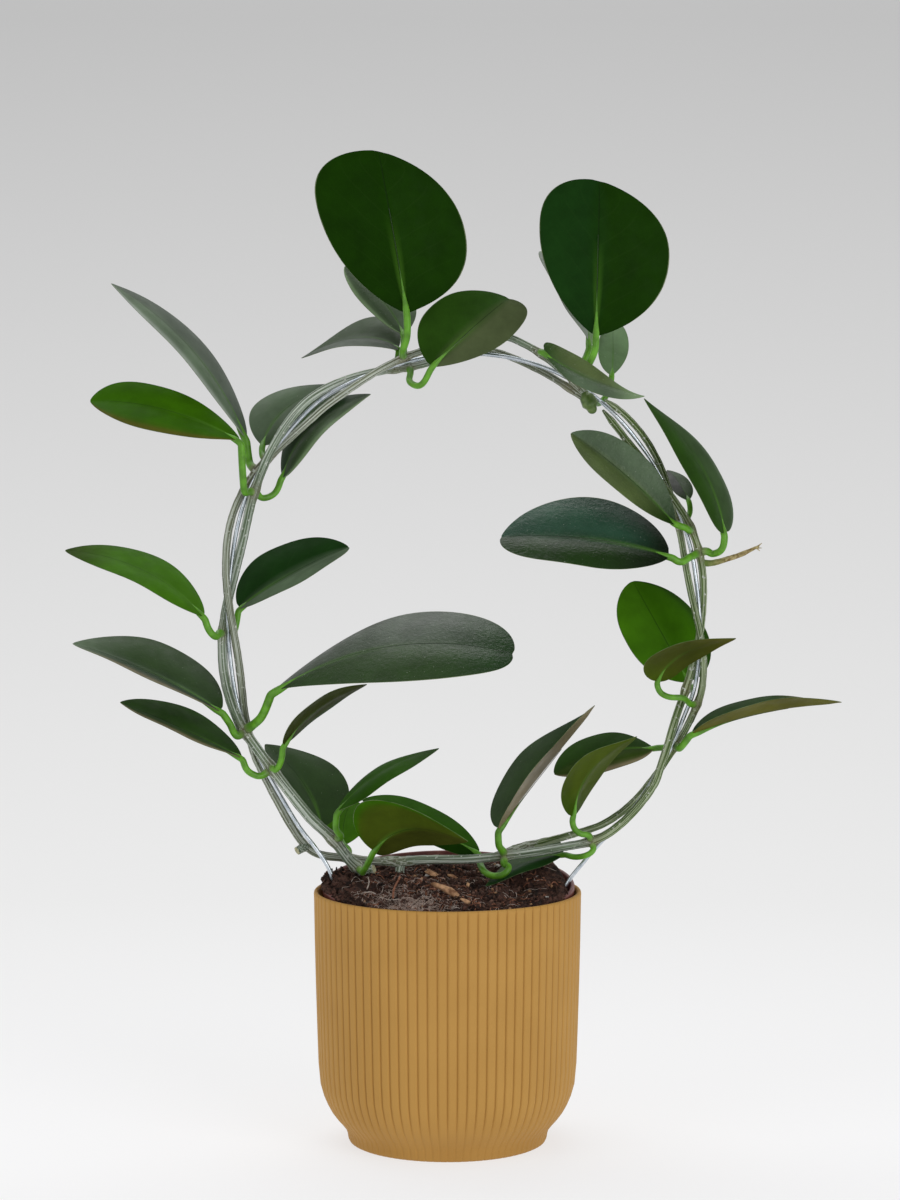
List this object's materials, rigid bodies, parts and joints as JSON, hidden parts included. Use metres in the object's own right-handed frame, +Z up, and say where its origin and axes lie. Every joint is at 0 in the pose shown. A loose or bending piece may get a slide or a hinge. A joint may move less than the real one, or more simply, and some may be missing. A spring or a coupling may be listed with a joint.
{
  "type": "potted hoya australis",
  "caption": "Hoya vine trained round an upright wire hoop, with waxy oval leaves, standing in soil in a nursery pot inside a ribbed ochre cover pot.",
  "frame": {"origin": "centre of the cover pot's flat foot, on the surface it stands on", "axes": "+Z up along the pot's axis; the hoop's plane is X-Z and the plant faces -Y"},
  "size_m": [0.4042, 0.1402, 0.5171],
  "materials": {
    "ochre_plastic": "matte, finely ribbed",
    "brown_plastic": "matte brown",
    "dark_soil": "moist coir and bark, rough",
    "bright_wire": "bright galvanised",
    "grey_green_stem": "satin bark, knotted",
    "leaf_green": "waxy, satin"
  },
  "bodies": {
    "root": {"cover_pot": "ochre_plastic", "nursery_pot": "brown_plastic", "soil": "dark_soil", "wire_hoop": "bright_wire", "vine_left": "grey_green_stem", "vine_centre": "grey_green_stem", "vine_back": "grey_green_stem", "vine_right": "grey_green_stem", "leaf_01": "leaf_green", "leaf_02": "leaf_green", "leaf_03": "leaf_green", "leaf_04": "leaf_green", "leaf_05": "leaf_green", "leaf_06": "leaf_green", "leaf_07": "leaf_green", "leaf_08": "leaf_green", "leaf_09": "leaf_green", "leaf_10": "leaf_green", "leaf_11": "leaf_green", "leaf_12": "leaf_green", "leaf_13": "leaf_green", "leaf_14": "leaf_green", "leaf_15": "leaf_green", "leaf_16": "leaf_green", "leaf_17": "leaf_green", "leaf_18": "leaf_green", "leaf_19": "leaf_green", "leaf_20": "leaf_green", "leaf_21": "leaf_green", "leaf_22": "leaf_green", "leaf_23": "leaf_green", "leaf_24": "leaf_green", "leaf_25": "leaf_green", "leaf_26": "leaf_green", "leaf_27": "leaf_green", "leaf_28": "leaf_green", "leaf_29": "leaf_green", "leaf_30": "leaf_green", "leaf_31": "leaf_green", "leaf_32": "leaf_green", "leaf_33": "leaf_green", "leaf_34": "leaf_green"}
  },
  "joints": []
}
